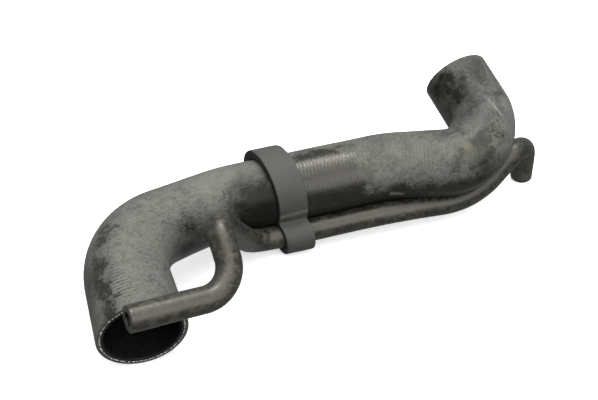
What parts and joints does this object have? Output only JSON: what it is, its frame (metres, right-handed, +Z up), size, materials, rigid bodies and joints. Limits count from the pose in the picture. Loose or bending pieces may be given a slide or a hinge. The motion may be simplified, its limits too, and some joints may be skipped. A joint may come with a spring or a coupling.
{
  "type": "radiator hose",
  "caption": "Moulded Z-shaped rubber radiator hose with a small bleed hose beside it, held by a figure-of-eight rubber band.",
  "frame": {"origin": "middle of the set's outline, at the surface that it lies on", "axes": "+X along the main hose's long straight, from its mouth to its far end; +Y towards the side that the far end points to; +Z up"},
  "size_m": [0.3236, 0.161, 0.0954],
  "materials": {
    "main_rubber": "matt, dusty",
    "bleed_rubber": "satin",
    "band_rubber": "matt"
  },
  "bodies": {
    "root": {"main_hose": "main_rubber", "bleed_hose": "bleed_rubber", "hose_band": "band_rubber"}
  },
  "joints": []
}
